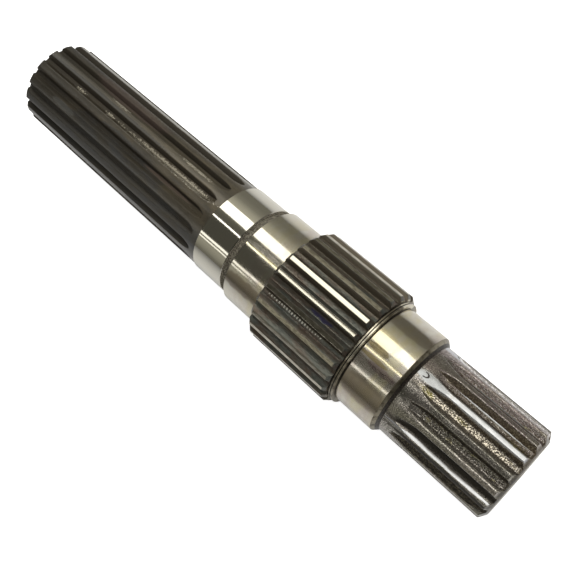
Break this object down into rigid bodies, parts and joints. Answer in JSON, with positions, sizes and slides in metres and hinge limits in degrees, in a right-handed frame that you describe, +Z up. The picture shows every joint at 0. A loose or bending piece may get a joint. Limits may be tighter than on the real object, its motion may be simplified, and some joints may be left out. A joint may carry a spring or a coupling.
{
  "type": "splined machine shaft",
  "caption": "Stepped drive shaft with an external involute spline at each end, a larger one between ground bearing journals, and a ring groove.",
  "frame": {"origin": "on the supporting surface, under the middle of the shaft", "axes": "+X along the shaft from the short spline to the long spline, +Z up from the supporting surface, with the large spline's two lowest teeth on it"},
  "size_m": [0.3, 0.0588, 0.0587],
  "materials": {
    "steel": "ground bright on the journals, dark heat-treated and worn on the splines"
  },
  "bodies": {
    "root": {"shaft": "steel"}
  },
  "joints": []
}
